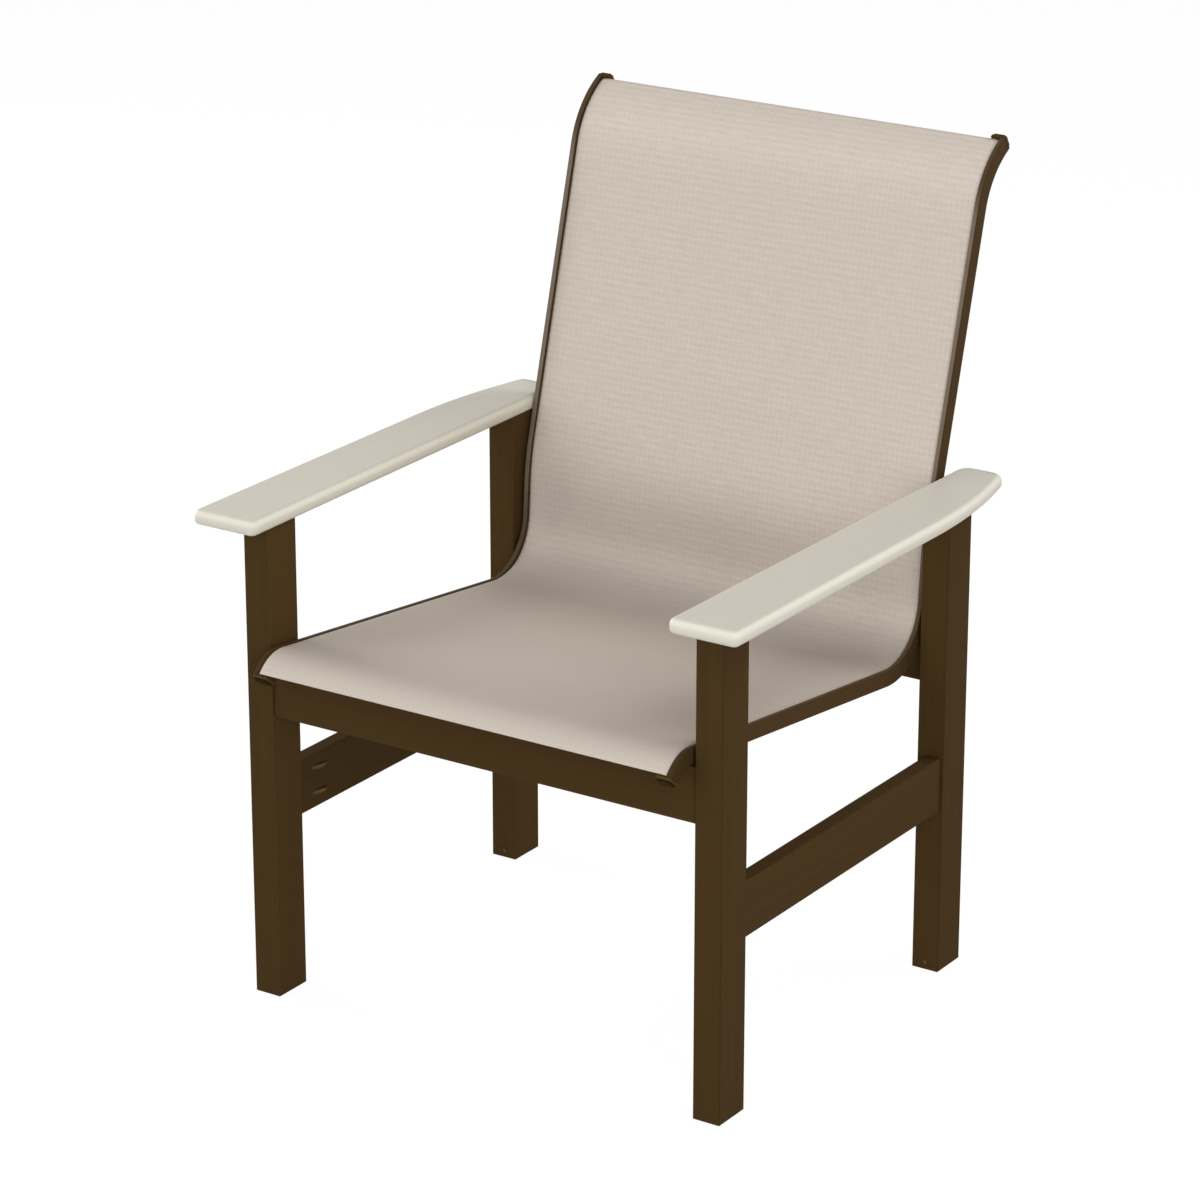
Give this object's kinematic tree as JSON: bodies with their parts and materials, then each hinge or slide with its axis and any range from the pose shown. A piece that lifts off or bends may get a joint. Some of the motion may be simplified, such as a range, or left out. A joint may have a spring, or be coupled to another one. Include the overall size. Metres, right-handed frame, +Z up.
{
  "type": "sling patio chair",
  "caption": "Outdoor armchair: board frame with broad flat arm boards and a high woven sling back and seat stretched between bent side rails.",
  "frame": {"origin": "on the floor, under the centre of the chair's outline", "axes": "+X to the sitter's left, -Y the way the sitter faces, +Z up"},
  "size_m": [0.756, 0.7496, 1.017],
  "materials": {
    "brown_lumber": "satin, faint grain",
    "pale_lumber": "satin, smooth",
    "painted_rail": "satin powder coat",
    "black_plastic": "matte moulded",
    "sling_weave": "coated woven mesh",
    "screw_steel": "plain stainless"
  },
  "bodies": {
    "root": {"front_left_post": "brown_lumber", "front_right_post": "brown_lumber", "rear_left_post": "brown_lumber", "rear_right_post": "brown_lumber", "left_stretcher": "brown_lumber", "right_stretcher": "brown_lumber", "front_cross_rail": "brown_lumber", "rear_cross_rail": "brown_lumber", "left_arm": "pale_lumber", "right_arm": "pale_lumber", "sling_fabric": "sling_weave", "left_sling_rail": "painted_rail", "right_sling_rail": "painted_rail", "seat_spreader": "painted_rail", "back_spreader": "painted_rail", "left_front_cap": "black_plastic", "left_top_cap": "black_plastic", "right_front_cap": "black_plastic", "right_top_cap": "black_plastic", "left_spline": "black_plastic", "right_spline": "black_plastic", "left_rail_front_spacer": "black_plastic", "left_rail_rear_spacer": "black_plastic", "right_rail_front_spacer": "black_plastic", "right_rail_rear_spacer": "black_plastic", "front_left_glide": "black_plastic", "front_right_glide": "black_plastic", "rear_left_glide": "black_plastic", "rear_right_glide": "black_plastic", "front_left_arm_stud": "screw_steel", "front_right_arm_stud": "screw_steel", "rear_left_arm_stud": "screw_steel", "rear_right_arm_stud": "screw_steel", "left_rail_front_bolt": "screw_steel", "left_rail_rear_bolt": "screw_steel", "right_rail_front_bolt": "screw_steel", "right_rail_rear_bolt": "screw_steel", "seat_spreader_left_screw": "screw_steel", "seat_spreader_right_screw": "screw_steel", "back_spreader_left_screw": "screw_steel", "back_spreader_right_screw": "screw_steel", "left_stretcher_front_upper_screw": "screw_steel", "left_stretcher_front_lower_screw": "screw_steel", "left_stretcher_rear_upper_screw": "screw_steel", "left_stretcher_rear_lower_screw": "screw_steel", "right_stretcher_front_upper_screw": "screw_steel", "right_stretcher_front_lower_screw": "screw_steel", "right_stretcher_rear_upper_screw": "screw_steel", "right_stretcher_rear_lower_screw": "screw_steel", "front_rail_left_upper_screw": "screw_steel", "front_rail_left_lower_screw": "screw_steel", "front_rail_right_upper_screw": "screw_steel", "front_rail_right_lower_screw": "screw_steel", "rear_rail_left_upper_screw": "screw_steel", "rear_rail_left_lower_screw": "screw_steel", "rear_rail_right_upper_screw": "screw_steel", "rear_rail_right_lower_screw": "screw_steel"}
  },
  "joints": []
}
